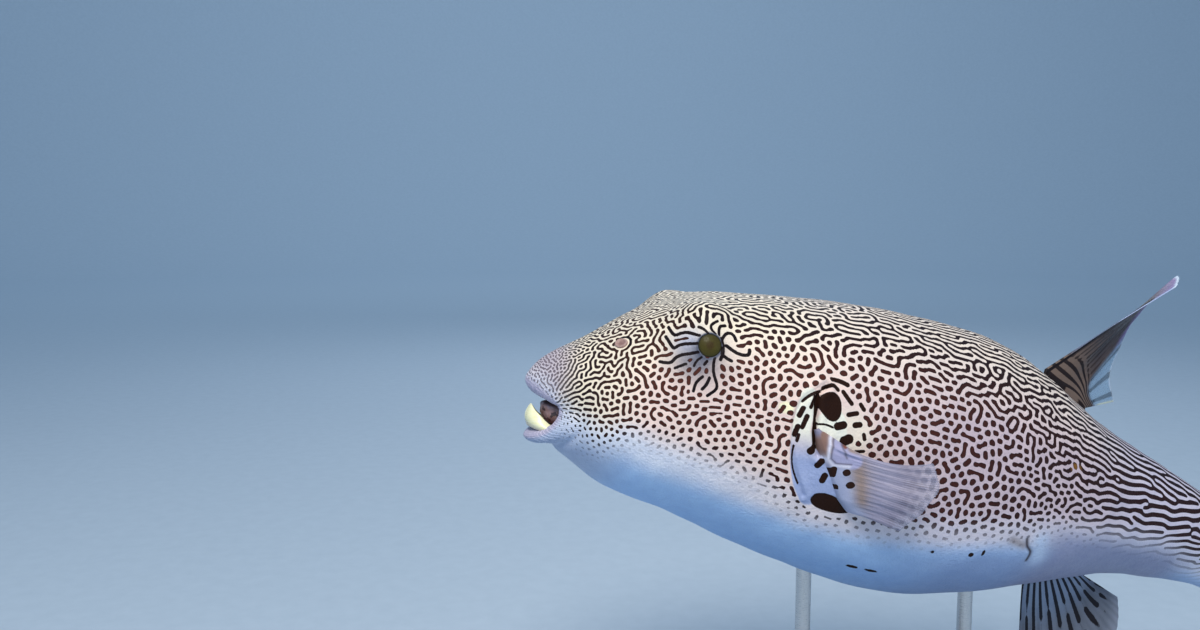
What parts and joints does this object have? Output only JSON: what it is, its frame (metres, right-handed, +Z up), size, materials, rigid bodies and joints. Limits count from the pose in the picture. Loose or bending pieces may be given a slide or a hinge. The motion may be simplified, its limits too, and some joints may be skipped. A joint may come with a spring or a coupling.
{
  "type": "map puffer fish model on a stand",
  "caption": "Life-size still model of a map pufferfish, nose slightly up, held by two short rods over a flat base.",
  "frame": {"origin": "centre of the stand base's underside", "axes": "+Z up; the fish faces -X, its tail towards +X and its left flank towards -Y"},
  "size_m": [0.5637, 0.198, 0.3245],
  "materials": {
    "skin": "moist satin skin, cream to lavender with dark brown map lines and dots, bluish-white belly",
    "fin": "thin satin fin membrane with fine rays",
    "eye": "wet, olive green",
    "nostril": "satin skin flap",
    "beak": "smooth tooth, pale yellow",
    "stand_wood": "dark stained, satin lacquer",
    "stand_steel": "fine brushed"
  },
  "bodies": {
    "root": {"head": "skin", "trunk": "skin", "tail_stalk": "skin", "dorsal_fin": "fin", "anal_fin": "fin", "caudal_fin": "fin", "pectoral_fin_left": "fin", "pectoral_fin_right": "fin", "eye_left": "eye", "eye_right": "eye", "nostril_left": "nostril", "nostril_right": "nostril", "beak_upper": "beak", "beak_lower": "beak", "stand_base": "stand_wood", "stand_rod_front": "stand_steel", "stand_rod_rear": "stand_steel"}
  },
  "joints": []
}
